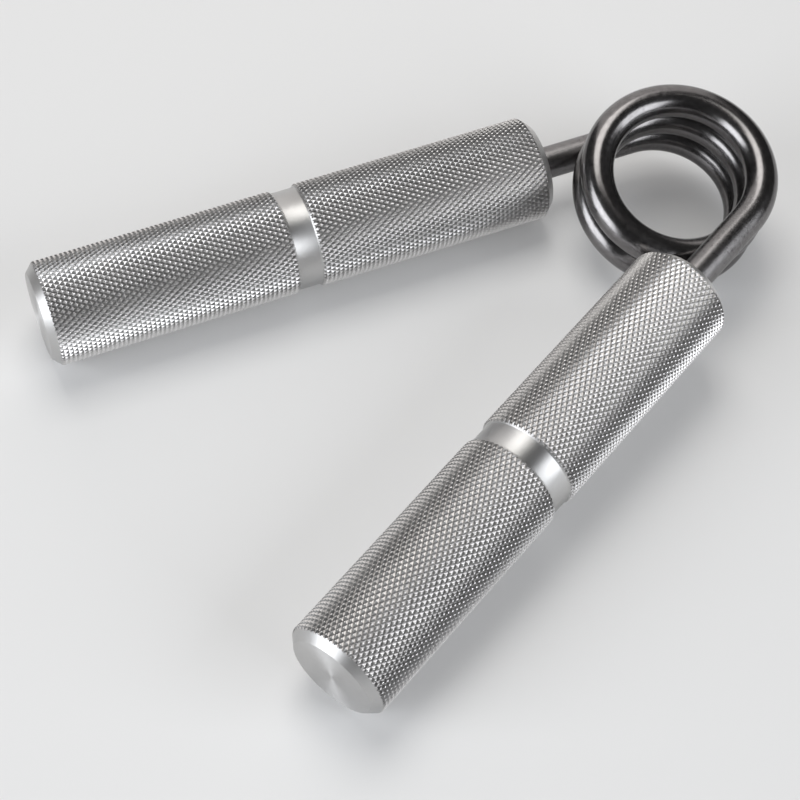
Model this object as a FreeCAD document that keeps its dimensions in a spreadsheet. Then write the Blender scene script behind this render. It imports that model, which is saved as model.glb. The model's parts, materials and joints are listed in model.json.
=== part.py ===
import FreeCAD, Part
import math
import os
import Sketcher

# Hand grip strengthener: two knurled aluminium handles on the legs of one coiled torsion spring.
#
# Working axes: +Z runs up the coil's axis and the handles point towards -Y.  The wire's bottom turn
# leaves at -X into the left handle and its top turn leaves at +X into the right handle.  Each leg keeps
# some of the helix's slope, so the left handle slopes down from the coil and the right handle slopes up.
# The last step tips everything into the pose in which the object lies on a table: on the left handle's
# whole length and the right handle's free end.  The origin is then the centre of the object's box, on
# the table.
#
# The wire is one piece that bends.  It is divided here into two straight legs and five rigid stretches
# of coil, and each stretch turns about the coil's axis by its own share of the right handle's travel.

SIZES = [
    ("handle_diameter", 22.2, "7/8 inch bar, over the crests of the knurl"),
    ("handle_length", 110.8, "end face to end face"),
    ("handle_chamfer", 1.9, "45 degree chamfer at both ends"),
    ("band_centre", 55.1, "middle of the smooth band, from the coil end"),
    ("band_floor", 4.7, "width of the band's flat floor"),
    ("band_shoulder", 0.75, "run of each sloping shoulder"),
    ("band_depth", 0.6, "depth of the floor below the crests"),
    ("bore_depth", 38.0, "full-diameter depth of the blind bore"),
    ("bore_mouth", 0.5, "countersink at the bore's mouth"),
    ("drill_point", 2.0, "height of the drill's cone at the bore's end"),
    ("wire_diameter", 6.9, "oil-tempered spring wire"),
    ("wire_end_chamfer", 0.6, "chamfer on the wire's cut ends"),
    ("wire_insertion", 36.0, "length of each leg inside its handle"),
    ("coil_radius", 17.1, "coil axis to the wire's centre line"),
    ("coil_pitch", 7.4, "rise per turn: the wire and a small gap"),
    ("opening_angle", 28.9, "between the two handles at rest, seen along the coil's axis, in degrees"),
    ("left_leg", 22.0, "free wire between the coil and the left handle"),
    ("right_leg", 22.2, "free wire between the coil and the right handle"),
    ("left_leg_fall", 3.7, "slope of the left leg down from the coil, in degrees"),
    ("right_leg_rise", 1.75, "slope of the right leg up from the coil, in degrees"),
    ("stretch_gap", 0.1, "parting between two stretches of the coil"),
    ("leg_gap", 0.3, "parting between the coil and a leg, which slopes"),
]
FULL_TURNS = 2
STRETCHES = 5
UP = FreeCAD.Vector(0, 0, 1)
VOLUME_TOLERANCE = 0.01


def make_sheet(doc):
    """The driving dimensions, one row each: name, value and meaning."""
    sheet = doc.addObject("Spreadsheet::Sheet", "sizes")
    for row, (alias, value, meaning) in enumerate(SIZES, start=1):
        sheet.set(f"A{row}", alias)
        sheet.set(f"B{row}", str(value))
        sheet.set(f"C{row}", meaning)
        sheet.setAlias(f"B{row}", alias)
    doc.recompute()
    return sheet


def origin_plane(body, role):
    """One of the body's own origin planes, found by its role."""
    for feature in body.Origin.OriginFeatures:
        if feature.Role == role:
            return feature
    raise ValueError(f"{body.Label} has no {role}")


def upright_sketch(body, name):
    """An empty sketch in the body's XZ plane: across is the body's X, along is its Z."""
    sketch = body.newObject("Sketcher::SketchObject", name)
    sketch.AttachmentSupport = [(origin_plane(body, "XZ_Plane"), "")]
    sketch.MapMode = "FlatFace"
    return sketch


def bind_point(sketch, kind, edge, vertex, name, expression):
    """Place one vertex across (DistanceX) or along (DistanceY) by an expression."""
    if expression == "0":
        vertical_axis, horizontal_axis = -2, -1
        axis = vertical_axis if kind == "DistanceX" else horizontal_axis
        sketch.addConstraint(Sketcher.Constraint("PointOnObject", edge, vertex, axis))
        return
    index = sketch.addConstraint(Sketcher.Constraint(kind, -1, 1, edge, vertex, 1.0))
    sketch.renameConstraint(index, name)
    sketch.setExpression(f"Constraints.{name}", expression)


def closed_outline(body, name, corners):
    """A closed outline of straight edges.  Each corner is a pair of expressions: across, along."""
    sketch = upright_sketch(body, name)
    count = len(corners)
    for k in range(count):
        bearings = [2 * math.pi * step / count for step in (k, k + 1)]
        ends = [FreeCAD.Vector(30 + 20 * math.cos(a), 30 + 20 * math.sin(a), 0) for a in bearings]
        sketch.addGeometry(Part.LineSegment(ends[0], ends[1]), False)
    for k in range(count):
        sketch.addConstraint(Sketcher.Constraint("Coincident", k, 2, (k + 1) % count, 1))
    for k, (across, along) in enumerate(corners):
        bind_point(sketch, "DistanceX", k, 1, f"across{k}", across)
        bind_point(sketch, "DistanceY", k, 1, f"along{k}", along)
    return sketch


def turned_feature(body, kind, name, corners):
    """Turn an outline about the body's Z axis, as a PartDesign::Revolution or PartDesign::Groove."""
    sketch = closed_outline(body, f"{name}_outline", corners)
    feature = body.newObject(kind, name)
    feature.Profile = sketch
    feature.ReferenceAxis = (sketch, ["V_Axis"])
    feature.Angle = 360.0
    body.Tip = feature


def make_handle(doc, name):
    """A handle, its coil end at Z = 0: a chamfered bar with a smooth band and a blind bore."""
    body = doc.addObject("PartDesign::Body", name)
    radius = "sizes.handle_diameter / 2"
    length = "sizes.handle_length"
    chamfer = "sizes.handle_chamfer"
    turned_feature(body, "PartDesign::Revolution", "bar", [
        ("0", "0"),
        (f"{radius} - {chamfer}", "0"),
        (radius, chamfer),
        (radius, f"{length} - {chamfer}"),
        (f"{radius} - {chamfer}", length),
        ("0", length),
    ])
    depth = "sizes.band_depth"
    half_floor = "sizes.band_floor / 2"
    half_mouth = "(sizes.band_floor / 2 + 2 * sizes.band_shoulder)"
    turned_feature(body, "PartDesign::Groove", "band", [
        (f"{radius} - {depth}", f"sizes.band_centre - {half_floor}"),
        (f"{radius} - {depth}", f"sizes.band_centre + {half_floor}"),
        (f"{radius} + {depth}", f"sizes.band_centre + {half_mouth}"),
        (f"{radius} + {depth}", f"sizes.band_centre - {half_mouth}"),
    ])
    bore = "sizes.wire_diameter / 2"
    turned_feature(body, "PartDesign::Groove", "bore", [
        ("0", "0"),
        (f"{bore} + sizes.bore_mouth", "0"),
        (bore, "sizes.bore_mouth"),
        (bore, "sizes.bore_depth"),
        ("0", "sizes.bore_depth + sizes.drill_point"),
    ])
    return body


def make_leg(doc, name, free_length):
    """A straight leg of the wire: the coil at Z = 0, its cut end deep in the handle's bore."""
    body = doc.addObject("PartDesign::Body", name)
    radius = "sizes.wire_diameter / 2"
    end = f"sizes.{free_length} + sizes.wire_insertion"
    turned_feature(body, "PartDesign::Revolution", "leg", [
        ("0", "sizes.leg_gap"),
        (radius, "sizes.leg_gap"),
        (radius, f"{end} - sizes.wire_end_chamfer"),
        (f"{radius} - sizes.wire_end_chamfer", end),
        ("0", end),
    ])
    return body


def coil_sweep(sheet):
    """The whole angle that the wire turns through between its two legs, in degrees."""
    return 360.0 * FULL_TURNS + 180.0 - sheet.opening_angle


def make_stretch(doc, sheet, name):
    """One rigid stretch of the coil, a left-hand helix that starts at +X and Z = 0."""
    body = doc.addObject("PartDesign::Body", name)
    sketch = upright_sketch(body, f"{name}_section")
    centre = FreeCAD.Vector(sheet.coil_radius, 0, 0)
    sketch.addGeometry(Part.Circle(centre, FreeCAD.Vector(0, 0, 1), sheet.wire_diameter / 2), False)
    bind_point(sketch, "DistanceX", 0, 3, "across", "sizes.coil_radius")
    bind_point(sketch, "DistanceY", 0, 3, "along", "0")
    index = sketch.addConstraint(Sketcher.Constraint("Diameter", 0, sheet.wire_diameter))
    sketch.renameConstraint(index, "wire")
    sketch.setExpression("Constraints.wire", "sizes.wire_diameter")
    helix = body.newObject("PartDesign::AdditiveHelix", "helix")
    helix.Profile = sketch
    helix.ReferenceAxis = (sketch, ["V_Axis"])
    helix.HasBeenEdited = True
    helix.Mode = "pitch-turns-angle"
    helix.LeftHanded = True
    sweep = f"({FULL_TURNS} + (180 - sizes.opening_angle) / 360) / {STRETCHES}"
    parting = "sizes.stretch_gap / (2 * pi * sizes.coil_radius)"
    helix.setExpression("Pitch", "sizes.coil_pitch")
    helix.setExpression("Turns", f"{sweep} - {parting}")
    body.Tip = helix
    return body


def placed(start, along):
    """The placement that stands a sub-part's own Z axis on a point, along a direction."""
    return FreeCAD.Placement(start, FreeCAD.Rotation(UP, along))


def sloping(bearing, slope):
    """A direction at a bearing from -Y towards +X and a slope above the level, both in degrees."""
    turn, lift = math.radians(bearing), math.radians(slope)
    level = math.cos(lift)
    return FreeCAD.Vector(math.sin(turn) * level, -math.cos(turn) * level, math.sin(lift))


def wire_ends(sheet):
    """Where the wire leaves the coil on each side, and the direction of its leg there."""
    half = sheet.opening_angle / 2
    height = sheet.coil_pitch * coil_sweep(sheet) / 360
    side = sheet.coil_radius * math.cos(math.radians(half))
    back = sheet.coil_radius * math.sin(math.radians(half))
    left = (FreeCAD.Vector(-side, back, 0), sloping(-half, -sheet.left_leg_fall))
    right = (FreeCAD.Vector(side, back, height), sloping(half, sheet.right_leg_rise))
    return left, right


def stretch_placement(sheet, number):
    """Where stretch 1, 2, ... starts on the helix: clockwise from the left leg, seen from above."""
    sweep = coil_sweep(sheet) / STRETCHES
    half_gap = math.degrees(sheet.stretch_gap / 2 / sheet.coil_radius)
    turned = (number - 1) * sweep + half_gap
    bearing = 180 - sheet.opening_angle / 2 - turned
    rise = FreeCAD.Vector(0, 0, sheet.coil_pitch * turned / 360)
    return FreeCAD.Placement(rise, FreeCAD.Rotation(UP, bearing))


def resting_up(sheet):
    """The table's normal when the left handle lies along it and the right handle's end touches it."""
    (left_start, left_along), (right_start, right_along) = wire_ends(sheet)
    radius = sheet.handle_diameter / 2
    chamfer = sheet.handle_chamfer
    end = sheet.right_leg + sheet.handle_length
    rims = [
        (right_start + right_along * (end - chamfer), radius),
        (right_start + right_along * end, radius - chamfer),
    ]
    level = UP - left_along * UP.dot(left_along)
    level.normalize()
    sideways = left_along.cross(level)

    def clearance(angle):
        normal = level * math.cos(angle) + sideways * math.sin(angle)
        across = math.sqrt(1 - right_along.dot(normal) ** 2)
        return min((centre - left_start).dot(normal) - rim * across for centre, rim in rims) + radius

    low, high = 0.0, math.radians(45)
    while high - low > 1e-9:
        middle = (low + high) / 2
        if clearance(middle) > 0:
            low = middle
        else:
            high = middle
    return level * math.cos(low) + sideways * math.sin(low)


def build(doc):
    """Make every sub-part and return them with their places in the working axes."""
    sheet = make_sheet(doc)
    (left_start, left_along), (right_start, right_along) = wire_ends(sheet)
    places = [
        (make_handle(doc, "left_handle"), placed(left_start + left_along * sheet.left_leg, left_along)),
        (make_handle(doc, "right_handle"), placed(right_start + right_along * sheet.right_leg, right_along)),
        (make_leg(doc, "left_spring_leg", "left_leg"), placed(left_start, left_along)),
        (make_leg(doc, "right_spring_leg", "right_leg"), placed(right_start, right_along)),
    ]
    for number in range(1, STRETCHES + 1):
        stretch = make_stretch(doc, sheet, f"spring_coil_{number}")
        places.append((stretch, stretch_placement(sheet, number)))
    return sheet, places


def lay_on_table(doc, sheet, places):
    """Tip the whole object into its resting pose, then bring its box's bottom centre to the origin."""
    tip = FreeCAD.Placement(FreeCAD.Vector(), FreeCAD.Rotation(resting_up(sheet), UP))
    for body, place in places:
        body.Placement = tip.multiply(place)
    doc.recompute()
    box = Part.makeCompound([body.Shape for body, _ in places]).optimalBoundingBox(False)
    shift = FreeCAD.Placement(FreeCAD.Vector(-box.Center.x, -box.Center.y, -box.ZMin), FreeCAD.Rotation())
    for body, place in places:
        body.Placement = shift.multiply(tip).multiply(place)
    doc.recompute()
    return shift.multiply(tip)


def check(doc, sheet, places):
    """Stop on a failed object, a bad shape, or a stretch whose volume isn't its section times length."""
    for item in doc.Objects:
        if "Invalid" in item.State or "Error" in item.State:
            raise RuntimeError(f"{item.Label} failed: {item.State}")
    turn = math.hypot(2 * math.pi * sheet.coil_radius, sheet.coil_pitch)
    stretch_length = turn * coil_sweep(sheet) / 360 / STRETCHES - sheet.stretch_gap
    expected = math.pi * sheet.wire_diameter ** 2 / 4 * stretch_length
    for body, _ in places:
        shape = body.Shape
        if shape.isNull() or not shape.isValid() or len(shape.Solids) != 1:
            raise RuntimeError(f"{body.Label} isn't one valid solid")
        if body.Label.startswith("spring_coil") and abs(shape.Volume / expected - 1) > VOLUME_TOLERANCE:
            raise RuntimeError(f"{body.Label} holds {shape.Volume:.1f} mm3, not {expected:.1f}")
        print(f"{body.Label}: {shape.Volume:.1f} mm3")


def export(places):
    """One STEP file for each sub-part, named after it."""
    os.makedirs("parts", exist_ok=True)
    for body, _ in places:
        body.Shape.exportStep(f"parts/{body.Label}.step")


doc = FreeCAD.newDocument("hand_grip_strengthener")
sheet, places = build(doc)
pose = lay_on_table(doc, sheet, places)
check(doc, sheet, places)
export(places)
axis = pose.Rotation.multVec(UP)
print(f"coil axis passes through {pose.Base} along {axis}")
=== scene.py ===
import json
import math

import bpy
import numpy as np
from mathutils import Matrix, Vector


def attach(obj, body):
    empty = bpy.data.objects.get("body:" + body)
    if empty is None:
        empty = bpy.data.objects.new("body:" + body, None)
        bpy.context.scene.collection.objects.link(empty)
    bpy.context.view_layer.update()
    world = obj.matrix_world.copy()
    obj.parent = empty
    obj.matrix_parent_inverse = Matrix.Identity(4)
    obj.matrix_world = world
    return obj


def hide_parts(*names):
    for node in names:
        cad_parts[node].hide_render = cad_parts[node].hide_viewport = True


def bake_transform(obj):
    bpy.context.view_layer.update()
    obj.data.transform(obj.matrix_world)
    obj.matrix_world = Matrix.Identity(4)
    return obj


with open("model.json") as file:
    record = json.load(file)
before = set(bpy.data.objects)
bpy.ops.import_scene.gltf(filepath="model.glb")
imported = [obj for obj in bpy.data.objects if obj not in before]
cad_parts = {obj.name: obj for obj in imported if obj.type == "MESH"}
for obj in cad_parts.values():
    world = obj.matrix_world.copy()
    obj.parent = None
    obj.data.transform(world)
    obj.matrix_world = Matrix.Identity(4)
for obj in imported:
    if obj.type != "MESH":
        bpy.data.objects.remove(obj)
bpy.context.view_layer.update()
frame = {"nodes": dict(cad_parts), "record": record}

# Hand grip strengthener, in metres, in the frame's own axes: two knurled aluminium handles and one
# continuous spring wire.  Everything is placed by the frame's mounts, nodes and main hinge.

RECORD = frame["record"]
MOUNTS = {mount["name"]: mount for mount in RECORD["mounts"]}
HINGE = next(joint for joint in RECORD["behaviour"]["joints"] if joint["name"] == "grip_close")
MM = 0.001

# Knurl: two crossing families of grooves leave rows of four-sided pyramids.  A pyramid ends in a small
# flat, and its flanks ease off just below it.  Both places are shares of the way from the pyramid's
# middle out to its corners, and the drop to the lower one is a share of the grooves' depth.
KNURL_GROOVES = 60
KNURL_PITCH = 1.95 * MM
KNURL_DEPTH = 0.42 * MM
TIP_FLAT = 0.12
TIP_ROUND = 0.30
TIP_DROP = 0.10
KNURL_CRISP = math.radians(20)

# Turned surfaces of a handle that the frame's mounts don't give.
BAND_WIDTH = 6.2 * MM
BAND_DEPTH = 0.6 * MM
BAND_SHOULDER = 0.75 * MM
EDGE_BREAK = 0.12 * MM
TURNING_CLEARANCE = 0.6 * MM
BORE_MOUTH = 0.5 * MM
BORE_DEPTH = 38.0 * MM
TURNED_SEGMENTS = 288

# Wire.
FULL_TURNS = 2
WIRE_SEGMENTS = 48
WIRE_STEP = math.radians(3)
WIRE_EASE = math.radians(40)
WIRE_END_CHAMFER = 0.6 * MM
WIRE_CRISP = math.radians(30)
LEG_STATIONS = 24

# The wire's wear begins and is complete at these distances from its middle.
WIRE_WORN = (118 * MM, 150 * MM)

# Each metal's darkest and lightest colour.  The knurl's darker colour in its grooves is painted shade
# with a little grime.
KNURL_TONES = ((0.46, 0.452, 0.448), (0.84, 0.827, 0.821))
TURNED_TONES = ((0.49, 0.485, 0.48), (0.65, 0.645, 0.64))
WIRE_TONES = ((0.135, 0.129, 0.130), (0.245, 0.237, 0.237))

# Camera and stage.
CAMERA_TARGET = Vector((11.48, -25.93, 15.0)) * MM
CAMERA_DISTANCE = 438.25 * MM
CAMERA_AZIMUTH = math.radians(53.89)
CAMERA_ELEVATION = math.radians(53.91)
CAMERA_ROLL = math.radians(-0.51)
CAMERA_LENS = 100.42
LIGHT_DISTANCE = 0.8
COOL_WHITE = (0.94, 0.965, 1.0)
WARM_WHITE = (1.0, 0.985, 0.955)
CARD_WHITE = (1.0, 0.97, 0.95)
FLOOR_HALF = 1.6


# ---------------------------------------------------------------- measuring the frame

def node_points(name):
    """The vertices of one CAD node, as rows of x, y, z."""
    return np.array([vertex.co for vertex in frame["nodes"][name].data.vertices], dtype=float)


def handle_frame(side):
    """A handle's own axes and sizes: its Z runs from its coil end to its free end."""
    end = MOUNTS[f"{side}_end_face"]
    grip = MOUNTS[f"{side}_grip"]
    tip = np.array(end["pos_m"])
    along = np.array(end["axis"])
    offsets = node_points(f"{side}_handle") - tip
    stations = offsets @ along
    length = stations.max() - stations.min()
    radius = grip["dims"]["r_mm"] * MM
    grip_middle = length + (np.array(grip["pos_m"]) - tip) @ along
    half_grip = grip["dims"]["length_mm"] * MM / 2
    wire = node_points(f"{side}_spring_leg") - tip
    wire_radius = np.linalg.norm(wire - np.outer(wire @ along, along), axis=1).max()
    return {
        "start": tip - along * length,
        "along": along,
        "length": length,
        "radius": radius,
        "chamfer": length - (grip_middle + half_grip),
        "band_end": grip_middle - half_grip,
        "wire_radius": wire_radius,
        "wire_end": (wire @ along).max(),
        "tip": tip,
    }


def coil_frame(left, right):
    """The coil's axes and sizes, from its hinge and the two sloping legs that touch it."""
    up = -np.array(HINGE["axis"])
    foot = np.array(HINGE["pos_m"])
    ends, slopes = [], []
    for side in (left, right):
        rise = side["along"] @ up
        level = side["along"] - up * rise
        reach = (side["start"] - foot) @ level / (level @ level)
        ends.append(side["start"] - side["along"] * reach)
        slopes.append(rise / np.linalg.norm(level))
    across = ends[1] - ends[0]
    across -= up * (across @ up)
    across /= np.linalg.norm(across)
    back = np.cross(up, across)
    places = [((end - foot) @ across, (end - foot) @ back, (end - foot) @ up) for end in ends]
    bearings = [math.atan2(place[1], place[0]) for place in places]
    sweep = (bearings[0] - bearings[1]) % (2 * math.pi) + 2 * math.pi * FULL_TURNS
    radius = math.hypot(places[0][0], places[0][1])
    return {
        "foot": foot,
        "axes": np.array([across, back, up]),
        "radius": radius,
        "height": places[1][2] - places[0][2],
        "bearing": bearings[0],
        "sweep": sweep,
        "ends": ends,
        "first_rise": -slopes[0] * radius,
        "last_rise": slopes[1] * radius,
    }


def axes_matrix(origin, along):
    """A placement whose Z runs along a direction and whose X stays level."""
    z = Vector(along).normalized()
    x = Vector((0, 0, 1)).cross(z).normalized()
    y = z.cross(x)
    matrix = Matrix((x, y, z)).transposed().to_4x4()
    matrix.translation = Vector(origin)
    return matrix


# ---------------------------------------------------------------- meshes

def mesh_object(name, vertices, faces):
    """A new object in the scene from points and faces."""
    mesh = bpy.data.meshes.new(name)
    mesh.from_pydata([tuple(vertex) for vertex in vertices], [], [tuple(face) for face in faces])
    mesh.update()
    piece = bpy.data.objects.new(name, mesh)
    bpy.context.scene.collection.objects.link(piece)
    return piece


def knurled_blank(name, radius, length):
    """A closed bar that is knurled all over and a little longer than the handle at both ends.

    Lattice points (column, row) lie half a diamond apart.  Where column + row is even stands a
    pyramid; the odd points round it are crossings of grooves.
    """
    columns = 2 * KNURL_GROOVES
    step = KNURL_PITCH / 2
    rows = math.ceil((length + 2 * KNURL_PITCH) / step) + 1
    start = (length - rows * step) / 2
    vertices, faces = [], []

    def point(column, row, at):
        angle = 2 * math.pi * column / columns
        vertices.append((at * math.cos(angle), at * math.sin(angle), start + row * step))
        return len(vertices) - 1

    crossing = {}
    for row in range(rows + 1):
        for column in range(columns):
            if (column + row) % 2:
                crossing[column, row] = point(column, row, radius - KNURL_DEPTH)
    around = ((1, 0), (0, 1), (-1, 0), (0, -1))
    for row in range(1, rows):
        for column in range(columns):
            if (column + row) % 2:
                continue
            corners = [crossing[(column + dc) % columns, row + dr] for dc, dr in around]
            rings = []
            for reach, drop in ((TIP_ROUND, TIP_DROP), (TIP_FLAT, 0.0)):
                at = radius - drop * KNURL_DEPTH
                rings.append([point(column + reach * dc, row + reach * dr, at) for dc, dr in around])
            for outer, inner in ((corners, rings[0]), (rings[0], rings[1])):
                for k in range(4):
                    n = (k + 1) % 4
                    faces.append((outer[k], outer[n], inner[n], inner[k]))
            faces.append(tuple(rings[1]))
    for row, inner_row, flip in ((0, 1, True), (rows, rows - 1, False)):
        rim = []
        for column in range(columns):
            rim.append(crossing[column, row if (column + row) % 2 else inner_row])
        vertices.append((0, 0, start + row * step + (-step if flip else step)))
        hub = len(vertices) - 1
        for k in range(columns):
            edge = (rim[k], rim[(k + 1) % columns])
            faces.append((edge[1], edge[0], hub) if flip else (edge[0], edge[1], hub))
    return mesh_object(name, vertices, faces)


def turned_profile(handle):
    """Radius and station along the turned outline, from the bore's bottom round to the free end."""
    radius, length, chamfer = handle["radius"], handle["length"], handle["chamfer"]
    clear = TURNING_CLEARANCE
    face = radius - chamfer
    floor = radius - BAND_DEPTH
    band_end, band_start = handle["band_end"], handle["band_end"] - BAND_WIDTH
    bore = handle["wire_radius"]
    slope = BAND_SHOULDER / BAND_DEPTH
    near, half, far = 0.3 * EDGE_BREAK, 0.5 * EDGE_BREAK, 0.7 * EDGE_BREAK
    ease = 0.4 * EDGE_BREAK
    return [
        (0.0, BORE_DEPTH),
        (bore, BORE_DEPTH),
        (bore, BORE_MOUTH),
        (bore + BORE_MOUTH, 0.0),
        (face - EDGE_BREAK, 0.0),
        (face - near, near / 2),
        (face + half, far),
        (radius + clear, chamfer + clear),
        (radius + clear, band_start - clear * slope),
        (floor + ease, band_start + BAND_SHOULDER - ease),
        (floor, band_start + BAND_SHOULDER + EDGE_BREAK),
        (floor, band_end - BAND_SHOULDER - EDGE_BREAK),
        (floor + ease, band_end - BAND_SHOULDER + ease),
        (radius + clear, band_end + clear * slope),
        (radius + clear, length - chamfer - clear),
        (face + half, length - far),
        (face - near, length - near / 2),
        (face - EDGE_BREAK, length),
        (0.0, length),
    ]


def turned_solid(name, profile):
    """A profile turned about Z.  Its two end points lie on the axis."""
    vertices = [(0.0, 0.0, profile[0][1])]
    for radius, station in profile[1:-1]:
        for k in range(TURNED_SEGMENTS):
            angle = 2 * math.pi * k / TURNED_SEGMENTS
            vertices.append((radius * math.cos(angle), radius * math.sin(angle), station))
    vertices.append((0.0, 0.0, profile[-1][1]))
    faces = []
    for k in range(TURNED_SEGMENTS):
        n = (k + 1) % TURNED_SEGMENTS
        faces.append((0, 1 + n, 1 + k))
        for ring in range(len(profile) - 3):
            low, high = 1 + ring * TURNED_SEGMENTS, 1 + (ring + 1) * TURNED_SEGMENTS
            faces.append((low + k, low + n, high + n, high + k))
        last = 1 + (len(profile) - 3) * TURNED_SEGMENTS
        faces.append((last + k, last + n, len(vertices) - 1))
    return mesh_object(name, vertices, faces)


def shade_with_crisp_edges(piece, limit):
    """Smooth shading, kept sharp where neighbouring faces turn by more than the limit."""
    piece.data.shade_smooth()
    piece.data.set_sharp_from_angle(angle=limit)


def build_handle_mesh(handle, materials):
    """The knurled bar cut by its turned outline: faced ends, chamfers, band and bore."""
    blank = knurled_blank("knurled_blank", handle["radius"], handle["length"])
    blank.data.materials.append(materials["knurled"])
    outline = turned_solid("turned_outline", turned_profile(handle))
    outline.data.materials.append(materials["turned"])
    cut = blank.modifiers.new("turning", "BOOLEAN")
    cut.operation = "INTERSECT"
    cut.solver = "MANIFOLD"
    cut.material_mode = "TRANSFER"
    cut.object = outline
    bpy.context.view_layer.update()
    evaluated = blank.evaluated_get(bpy.context.evaluated_depsgraph_get())
    mesh = bpy.data.meshes.new_from_object(evaluated)
    for scratch in (blank, outline):
        bpy.data.objects.remove(scratch)
    return mesh


def build_handle(side, handle, mesh):
    """One knurled handle, in place on its side of the spring."""
    piece = bpy.data.objects.new(f"{side}_knurled_handle", mesh)
    bpy.context.scene.collection.objects.link(piece)
    piece.matrix_world = axes_matrix(handle["start"], handle["along"])
    shade_with_crisp_edges(piece, KNURL_CRISP)
    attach(piece, f"{side}_side")
    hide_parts(f"{side}_handle")


def coil_point(coil, turned):
    """A point of the coil's centre line, turned so far from the left leg.

    The wire rises evenly with the turning, and eases into each leg's own slope.
    """
    first, last = coil["first_rise"], coil["last_rise"]
    even = (coil["height"] - WIRE_EASE * (first + last) / 2) / (coil["sweep"] - WIRE_EASE)
    left_over = coil["sweep"] - turned
    if turned < WIRE_EASE:
        rise = first * turned + (even - first) * turned**2 / (2 * WIRE_EASE)
    elif left_over < WIRE_EASE:
        rise = coil["height"] - last * left_over - (even - last) * left_over**2 / (2 * WIRE_EASE)
    else:
        rise = first * WIRE_EASE / 2 + even * (turned - WIRE_EASE / 2)
    bearing = coil["bearing"] - turned
    local = np.array([coil["radius"] * math.cos(bearing), coil["radius"] * math.sin(bearing), rise])
    return coil["foot"] + local @ coil["axes"]


def wire_route(left, right, coil):
    """Points of the wire's centre line from one bore, round the coil, to the other bore."""
    legs = []
    for side, tangent in ((left, coil["ends"][0]), (right, coil["ends"][1])):
        end = side["tip"] + side["along"] * side["wire_end"]
        out = np.linalg.norm(end - tangent)
        stations = [out, out - WIRE_END_CHAMFER]
        stations += list(np.linspace(out - 2 * WIRE_END_CHAMFER, 0, LEG_STATIONS))
        legs.append([tangent + side["along"] * station for station in stations])
    steps = round(coil["sweep"] / WIRE_STEP)
    turns = [coil_point(coil, coil["sweep"] * k / steps) for k in range(1, steps)]
    return np.array(legs[0] + turns + legs[1][::-1])


def build_spring(left, right, coil, material):
    """The whole spring as one wire between the two handles."""
    route = wire_route(left, right, coil)
    up = coil["axes"][2]
    heading = np.gradient(route, axis=0)
    heading /= np.linalg.norm(heading, axis=1)[:, None]
    run = np.concatenate([[0], np.cumsum(np.linalg.norm(np.diff(route, axis=0), axis=1))])
    run -= run[-1] / 2
    vertices, marks, faces = [], [], []
    last = len(route) - 1
    for k, (centre, ahead) in enumerate(zip(route, heading)):
        side = np.cross(up, ahead)
        side /= np.linalg.norm(side)
        over = np.cross(ahead, side)
        radius = left["wire_radius"] - (WIRE_END_CHAMFER if k in (0, last) else 0)
        for n in range(WIRE_SEGMENTS):
            angle = 2 * math.pi * n / WIRE_SEGMENTS
            vertices.append(centre + radius * (math.cos(angle) * side + math.sin(angle) * over))
            marks.append((radius * math.cos(angle), radius * math.sin(angle), run[k]))
    for k in range(last):
        for n in range(WIRE_SEGMENTS):
            here, there = k * WIRE_SEGMENTS, (k + 1) * WIRE_SEGMENTS
            m = (n + 1) % WIRE_SEGMENTS
            faces.append((here + n, here + m, there + m, there + n))
    faces.append(tuple(range(WIRE_SEGMENTS))[::-1])
    faces.append(tuple(range(last * WIRE_SEGMENTS, (last + 1) * WIRE_SEGMENTS)))
    piece = mesh_object("torsion_spring", vertices, faces)
    along = piece.data.attributes.new("along_wire", "FLOAT_VECTOR", "POINT")
    along.data.foreach_set("vector", np.array(marks, dtype=np.float32).ravel())
    shade_with_crisp_edges(piece, WIRE_CRISP)
    piece.data.materials.append(material)
    radius = left["wire_radius"]
    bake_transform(piece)
    stretches = [name for name in frame["nodes"] if name.startswith("spring_coil_")]
    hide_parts("left_spring_leg", "right_spring_leg", *stretches)


# ---------------------------------------------------------------- materials

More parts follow.
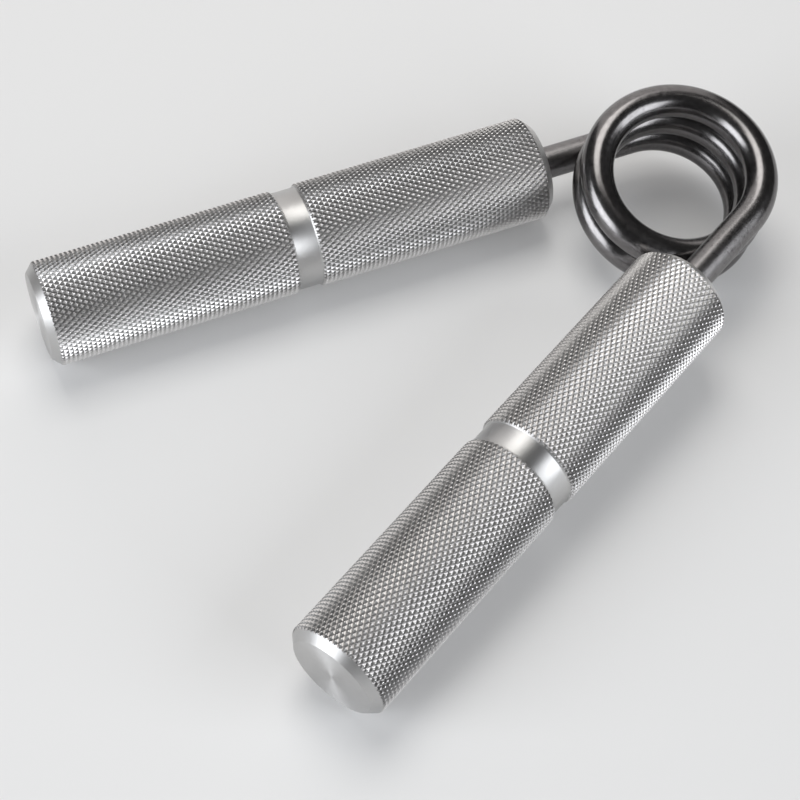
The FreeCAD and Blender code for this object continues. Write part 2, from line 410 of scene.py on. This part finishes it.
class Surface:
    """A metal material and short calls that add nodes to it."""

    def __init__(self, name):
        self.material = bpy.data.materials.new(name)
        self.material.use_nodes = True
        self.tree = self.material.node_tree
        self.shader = self.tree.nodes["Principled BSDF"]

    def node(self, kind, inputs, **settings):
        """A node with its settings and inputs; an input may be a number or another node's output."""
        made = self.tree.nodes.new(kind)
        for key, value in settings.items():
            setattr(made, key, value)
        for key, value in inputs.items():
            self.put(made.inputs[key], value)
        return made

    def put(self, socket, value):
        """Link an output to a socket, or set its value."""
        if isinstance(value, bpy.types.NodeSocket):
            self.tree.links.new(value, socket)
        else:
            socket.default_value = value

    def set(self, **inputs):
        """Inputs of the shader itself, with underscores for spaces."""
        for key, value in inputs.items():
            self.put(self.shader.inputs[key.replace("_", " ")], value)

    def math(self, operation, a, b=0.0):
        return self.node("ShaderNodeMath", {0: a, 1: b}, operation=operation).outputs[0]

    def weighted(self, first, first_share, second, second_share):
        """The sum of two values, each times its share."""
        first_part = self.math("MULTIPLY", first, first_share)
        second_part = self.math("MULTIPLY", second, second_share)
        return self.math("ADD", first_part, second_part)

    def spread(self, value, low, high, to_low, to_high):
        """A value mapped from low..high to another range, clamped."""
        inputs = {"Value": value, "From Min": low, "From Max": high, "To Min": to_low, "To Max": to_high}
        return self.node("ShaderNodeMapRange", inputs).outputs[0]

    def object_place(self):
        return self.node("ShaderNodeTexCoord", {}).outputs["Object"]

    def stretched(self, place, scale):
        return self.node("ShaderNodeMapping", {"Vector": place, "Scale": scale}).outputs[0]

    def noise(self, place, scale, detail=2.0, roughness=0.5):
        inputs = {"Vector": place, "Scale": scale, "Detail": detail, "Roughness": roughness}
        return self.node("ShaderNodeTexNoise", inputs).outputs["Fac"]

    def mix(self, factor, low, high):
        inputs = {"Factor": factor, 6: (*low, 1.0), 7: (*high, 1.0)}
        return self.node("ShaderNodeMix", inputs, data_type="RGBA").outputs[2]

    def bump(self, height, distance, strength=1.0, under=None):
        inputs = {"Height": height, "Distance": distance, "Strength": strength}
        if under is not None:
            inputs["Normal"] = under
        return self.node("ShaderNodeBump", inputs).outputs[0]

    def radius_and_station(self, place):
        """Distance from a handle's axis, and distance along it."""
        parts = self.node("ShaderNodeSeparateXYZ", {0: place}).outputs
        flat = self.node("ShaderNodeCombineXYZ", {0: parts[0], 1: parts[1]}).outputs[0]
        length = self.node("ShaderNodeVectorMath", {0: flat}, operation="LENGTH").outputs["Value"]
        return length, parts[2]


def knurled_aluminium(radius):
    """Cut knurling: bright tips over grooves darkened by painted shade and a little grime."""
    metal = Surface("knurled_aluminium")
    place = metal.object_place()
    reach, _ = metal.radius_and_station(place)
    height = metal.spread(reach, radius - KNURL_DEPTH, radius, 0.0, 1.0)
    patches = metal.noise(place, scale=60, detail=3)
    grain = metal.noise(place, scale=5200, detail=3, roughness=0.6)
    # The colour darkens from tip to groove bottom: painted shade, with a little grime.
    shade = metal.weighted(height, 0.8, patches, 0.2)
    rough = metal.weighted(grain, 0.85, patches, 0.15)
    metal.set(
        Base_Color=metal.mix(shade, *KNURL_TONES),
        Metallic=1.0,
        Roughness=metal.spread(rough, 0.3, 0.7, 0.24, 0.38),
        Normal=metal.bump(grain, distance=0.012 * MM, strength=0.6),
    )
    return metal.material


def turned_aluminium():
    """Lathe-cut metal: fine rings round the axis, a few handling marks and a drawn-out sheen."""
    metal = Surface("turned_aluminium")
    place = metal.object_place()
    reach, station = metal.radius_and_station(place)
    across = metal.math("ADD", reach, station)
    feed = {"W": across, "Scale": 9000, "Detail": 3}
    rings = metal.node("ShaderNodeTexNoise", feed, noise_dimensions="1D").outputs["Fac"]
    patches = metal.noise(place, scale=160, detail=3)
    marks = metal.noise(metal.stretched(place, (1, 1, 3)), scale=1100, detail=5, roughness=0.75)
    shade = metal.weighted(patches, 0.5, marks, 0.5)
    metal.set(
        Base_Color=metal.mix(shade, *TURNED_TONES),
        Metallic=1.0,
        Roughness=metal.spread(metal.math("ADD", rings, marks), 0.6, 1.4, 0.40, 0.50),
        Anisotropic=0.7,
        Anisotropic_Rotation=0.25,
        Tangent=metal.node("ShaderNodeTangent", {}, direction_type="RADIAL", axis="Z").outputs[0],
        Normal=metal.bump(
            marks, distance=0.014 * MM, strength=0.35,
            under=metal.bump(rings, distance=0.005 * MM, strength=0.8),
        ),
    )
    return metal.material


def tempered_wire():
    """Oil-tempered wire: a thin black oxide, draw marks along it, and legs worn dull and scuffed."""
    metal = Surface("oil_tempered_wire")
    along = metal.node("ShaderNodeAttribute", {}, attribute_name="along_wire").outputs["Vector"]
    run = metal.node("ShaderNodeSeparateXYZ", {0: along}).outputs[2]
    worn = metal.spread(metal.math("ABSOLUTE", run), *WIRE_WORN, 0.0, 1.0)
    streaks = metal.noise(metal.stretched(along, (1, 1, 0.02)), scale=2600, detail=3, roughness=0.6)
    clouds = metal.noise(along, scale=130, detail=4, roughness=0.6)
    scuffs = metal.noise(along, scale=900, detail=5, roughness=0.75)
    pits = metal.noise(along, scale=3200, detail=3, roughness=0.65)
    patchy = metal.weighted(streaks, 0.5, clouds, 0.5)
    rough = metal.weighted(scuffs, 0.6, patchy, 0.4)
    dull = metal.math("MULTIPLY", worn, 0.10)
    tone = metal.math("ADD", metal.spread(rough, 0.35, 0.65, 0.0, 0.8), metal.math("MULTIPLY", worn, 0.2))
    pitted = metal.bump(pits, distance=0.015 * MM, strength=0.6)
    scuffed = metal.bump(scuffs, distance=0.02 * MM, strength=0.45, under=pitted)
    metal.set(
        Base_Color=metal.mix(tone, *WIRE_TONES),
        Metallic=1.0,
        Roughness=metal.math("ADD", metal.spread(rough, 0.35, 0.65, 0.17, 0.27), dull),
        Normal=metal.bump(streaks, distance=0.01 * MM, strength=0.5, under=scuffed),
    )
    return metal.material


# ---------------------------------------------------------------- stage, lights and camera

def direction(azimuth, elevation):
    """The way from the object to a viewer at an azimuth and elevation."""
    flat = math.cos(elevation)
    return Vector((math.sin(azimuth) * flat, -math.cos(azimuth) * flat, math.sin(elevation)))


def build_floor():
    """A plain pale floor that glows a little, so that shadows on it stay faint."""
    corners = [(x * FLOOR_HALF, y * FLOOR_HALF, 0) for x, y in ((-1, -1), (1, -1), (1, 1), (-1, 1))]
    floor = mesh_object("floor", corners, [(0, 1, 2, 3)])
    white = Surface("floor_white")
    white.set(
        Base_Color=(0.66, 0.66, 0.66, 1.0),
        Roughness=0.5,
        Emission_Color=(1.0, 1.0, 1.0, 1.0),
        Emission_Strength=0.12,
    )
    floor.data.materials.append(white.material)


def softbox(name, azimuth, elevation, spread, radiance, colour):
    """A rectangular light seen from the object at an azimuth and elevation, both in degrees.

    The spread gives the angles that its width and height fill, and the radiance is that of its face.
    """
    light = bpy.data.lights.new(name, "AREA")
    light.shape = "RECTANGLE"
    light.size, light.size_y = (
        2 * LIGHT_DISTANCE * math.tan(math.radians(angle) / 2) for angle in spread
    )
    light.energy = radiance * math.pi * light.size * light.size_y
    light.color = colour
    lamp = bpy.data.objects.new(name, light)
    bpy.context.scene.collection.objects.link(lamp)
    back = direction(math.radians(azimuth), math.radians(elevation))
    lamp.location = CAMERA_TARGET + back * LIGHT_DISTANCE
    lamp.rotation_euler = back.to_track_quat("Z", "Y").to_euler()


def build_lights():
    """Plain soft studio light: a box on each side of the camera, one high behind and a dim card."""
    softbox("left_box", azimuth=-12, elevation=20, spread=(42, 40), radiance=5.0, colour=COOL_WHITE)
    softbox("right_box", azimuth=116, elevation=24, spread=(42, 36), radiance=4.1, colour=COOL_WHITE)
    softbox("rear_box", azimuth=-115, elevation=69, spread=(31, 34), radiance=3.8, colour=WARM_WHITE)
    softbox("rear_card", azimuth=-125, elevation=28, spread=(54, 56), radiance=0.9, colour=CARD_WHITE)
    world = bpy.data.worlds.new("studio")
    world.use_nodes = True
    world.node_tree.nodes["Background"].inputs["Color"].default_value = (0.06, 0.06, 0.06, 1.0)
    bpy.context.scene.world = world


def build_camera():
    """The photograph's viewpoint: looking steeply down past the handles' free ends."""
    back = direction(CAMERA_AZIMUTH, CAMERA_ELEVATION)
    level = Vector((0, 0, 1)).cross(back).normalized()
    lifted = back.cross(level)
    right = math.cos(CAMERA_ROLL) * level + math.sin(CAMERA_ROLL) * lifted
    placement = Matrix((right, back.cross(right), back)).transposed().to_4x4()
    placement.translation = CAMERA_TARGET + back * CAMERA_DISTANCE
    lens = bpy.data.cameras.new("camera")
    lens.lens = CAMERA_LENS
    lens.clip_start = 0.01
    lens.clip_end = 10
    camera = bpy.data.objects.new("camera", lens)
    camera.matrix_world = placement
    bpy.context.scene.collection.objects.link(camera)
    bpy.context.scene.camera = camera


# ---------------------------------------------------------------- the scene

def main():
    left, right = handle_frame("left"), handle_frame("right")
    coil = coil_frame(left, right)
    aluminium = {
        "knurled": knurled_aluminium(left["radius"]),
        "turned": turned_aluminium(),
    }
    mesh = build_handle_mesh(left, aluminium)
    build_handle("left", left, mesh)
    build_handle("right", right, mesh.copy())
    build_spring(left, right, coil, tempered_wire())
    build_floor()
    build_lights()
    build_camera()
    bpy.context.scene.view_settings.view_transform = "Standard"


main()
